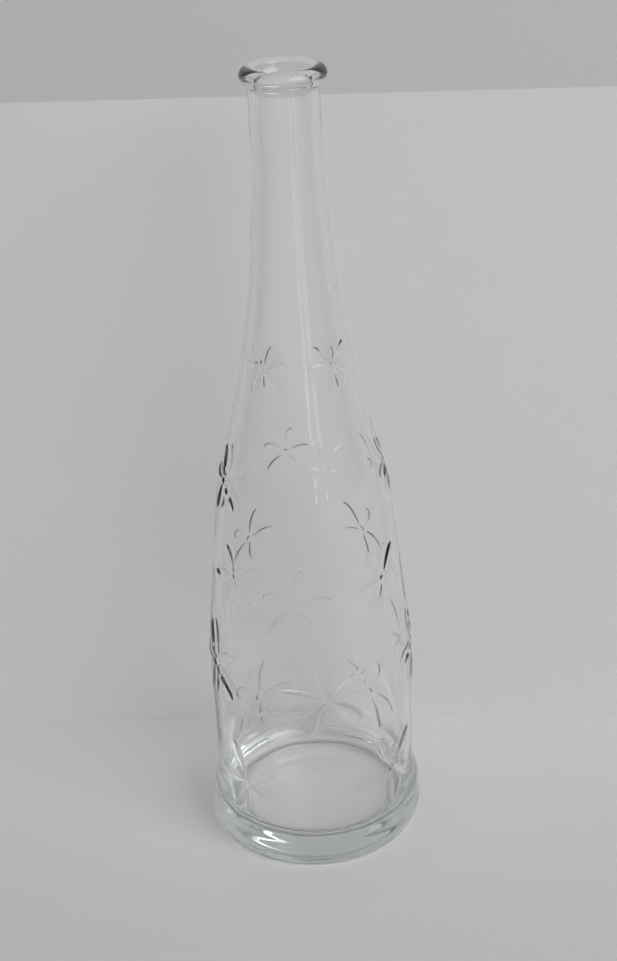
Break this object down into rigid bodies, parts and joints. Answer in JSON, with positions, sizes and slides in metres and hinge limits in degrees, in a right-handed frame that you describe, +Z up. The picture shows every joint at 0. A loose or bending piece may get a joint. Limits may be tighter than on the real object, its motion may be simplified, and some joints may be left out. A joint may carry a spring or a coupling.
{
  "type": "glass oil bottle",
  "caption": "Slender clear glass bottle with a flared lip, long sloping shoulder, thick base and flowers embossed round the body, for oil or vinegar.",
  "frame": {"origin": "middle of the foot, on the surface that the bottle stands on", "axes": "+Z up the bottle's axis towards the mouth; -Y is the front, which the embossing is laid out from"},
  "size_m": [0.0822, 0.0822, 0.299],
  "materials": {
    "glass": "clear moulded glass, smooth, very faint grey-green in thick places"
  },
  "bodies": {
    "root": {"base": "glass", "foot_band": "glass", "body_lower": "glass", "body_upper": "glass", "shoulder_lower": "glass", "shoulder_upper": "glass", "neck": "glass", "lip": "glass", "flower_01": "glass", "flower_02": "glass", "flower_03": "glass", "flower_04": "glass", "flower_05": "glass", "flower_06": "glass", "flower_07": "glass", "flower_08": "glass", "flower_09": "glass", "flower_10": "glass", "flower_11": "glass", "flower_12": "glass", "flower_13": "glass", "flower_14": "glass", "flower_15": "glass", "flower_16": "glass", "flower_17": "glass", "flower_18": "glass", "flower_19": "glass", "flower_20": "glass"}
  },
  "joints": []
}
